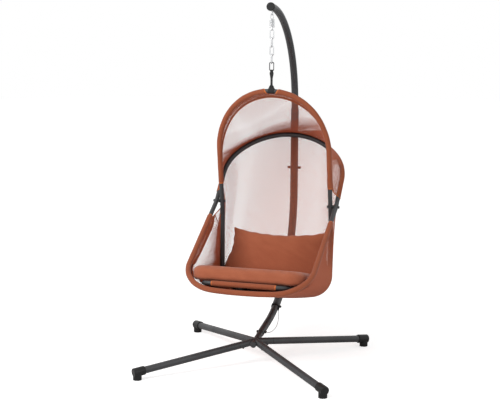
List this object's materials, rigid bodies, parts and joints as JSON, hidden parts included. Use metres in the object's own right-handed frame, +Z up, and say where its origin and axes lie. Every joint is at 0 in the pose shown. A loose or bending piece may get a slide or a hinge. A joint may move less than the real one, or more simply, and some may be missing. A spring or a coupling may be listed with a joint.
{
  "type": "hanging chair",
  "caption": "Hanging chair on a C-shaped stand: folding hoop frame with mesh canopy, seat cushion and lumbar pillow, hung by spring, chain and strap from a curved mast.",
  "frame": {"origin": "on the floor, in the middle of the overall outline seen from above", "axes": "+Z up, -Y is the open front of the chair, +X to the right of somebody who looks at it from the front"},
  "size_m": [1.0616, 1.3502, 1.9433],
  "materials": {
    "powder_coated_steel": "satin",
    "black_plastic": "matte",
    "zinc_steel": "satin",
    "rust_cloth": "matte",
    "rust_mesh": "matte",
    "cushion_cloth": "matte",
    "black_webbing": "matte",
    "grey_cable": "satin"
  },
  "bodies": {
    "stand": {"base_hub": "powder_coated_steel", "leg_front_left": "powder_coated_steel", "leg_front_right": "powder_coated_steel", "leg_rear_left": "powder_coated_steel", "leg_rear_right": "powder_coated_steel", "foot_front_left": "black_plastic", "foot_front_right": "black_plastic", "foot_rear_left": "black_plastic", "foot_rear_right": "black_plastic", "leg_screws": "powder_coated_steel", "mast_lower": "powder_coated_steel", "mast_middle": "powder_coated_steel", "mast_upper": "powder_coated_steel", "hub_bolt": "powder_coated_steel", "hub_nut": "powder_coated_steel", "mast_bolt": "powder_coated_steel", "mast_nut": "powder_coated_steel", "mast_end_cap": "black_plastic", "mast_collar": "black_plastic", "tether_anchor": "black_plastic", "tether_cord": "grey_cable", "eye_bolt": "zinc_steel", "eye_nut": "zinc_steel"},
    "spring_top": {"spring_upper_bar": "zinc_steel", "spring_coil": "zinc_steel"},
    "spring_bottom": {"spring_lower_bar": "zinc_steel"},
    "chain": {"chain_link_1": "zinc_steel", "chain_link_2": "zinc_steel", "chain_link_3": "zinc_steel", "chain_link_4": "zinc_steel"},
    "chair": {"carabiner_body": "powder_coated_steel", "carabiner_pin": "powder_coated_steel", "hanging_strap": "black_webbing", "hanging_hoop": "powder_coated_steel", "rear_lower_frame": "powder_coated_steel", "snap_buttons": "powder_coated_steel", "hoop_sleeve_left": "rust_cloth", "hoop_sleeve_right": "rust_cloth", "pivot_bolts": "powder_coated_steel", "pivot_nuts": "powder_coated_steel", "pivot_spacers": "black_plastic", "seat_frame": "powder_coated_steel", "seat_bar_sleeve": "rust_cloth", "rail_saddles": "black_plastic", "rail_plugs": "black_plastic", "canopy_mesh": "rust_mesh", "back_mesh": "rust_mesh", "bucket_mesh": "rust_mesh", "seat_cushion": "cushion_cloth", "lumbar_pillow": "cushion_cloth"},
    "carabiner_gate": {"carabiner_gate": "powder_coated_steel"},
    "front_frame": {"back_arch": "powder_coated_steel", "front_loop": "powder_coated_steel", "front_loop_sleeve": "rust_cloth"}
  },
  "joints": [
    {"name": "swing_fore_aft", "type": "hinge", "parent": "stand", "child": "spring_top", "pos_m": [0, 0.13565, 1.87909], "axis": [1, 0, 0], "range_deg": [-15, 0.4]},
    {"name": "spring_stretch", "type": "slide", "parent": "spring_top", "child": "spring_bottom", "axis": [0, 0, -1], "range_m": [0, 0.011], "stiffness_N_per_m": 85000, "springref_m": -0.00128, "deforming": ["spring_coil"]},
    {"name": "swing_side", "type": "hinge", "parent": "spring_bottom", "child": "chain", "pos_m": [0, 0.13565, 1.79009], "axis": [0, 1, 0], "range_deg": [-6, 6]},
    {"name": "swivel", "type": "hinge", "parent": "chain", "child": "chair", "pos_m": [0, 0.13565, 1.61634], "axis": [0, 0, 1], "range_deg": [-10, 10]},
    {"name": "gate_open", "type": "hinge", "parent": "chair", "child": "carabiner_gate", "pos_m": [0.0115, 0.13565, 1.58454], "axis": [0, -1, 0], "range_deg": [0, 12], "stiffness_Nm_per_rad": 0.05, "springref_deg": -17.19},
    {"name": "fold", "type": "hinge", "parent": "chair", "child": "front_frame", "pos_m": [0, 0.24668, 0.81313], "axis": [1, 0, 0], "range_deg": [0, 25], "deforming": ["canopy_mesh", "back_mesh", "bucket_mesh"]}
  ]
}
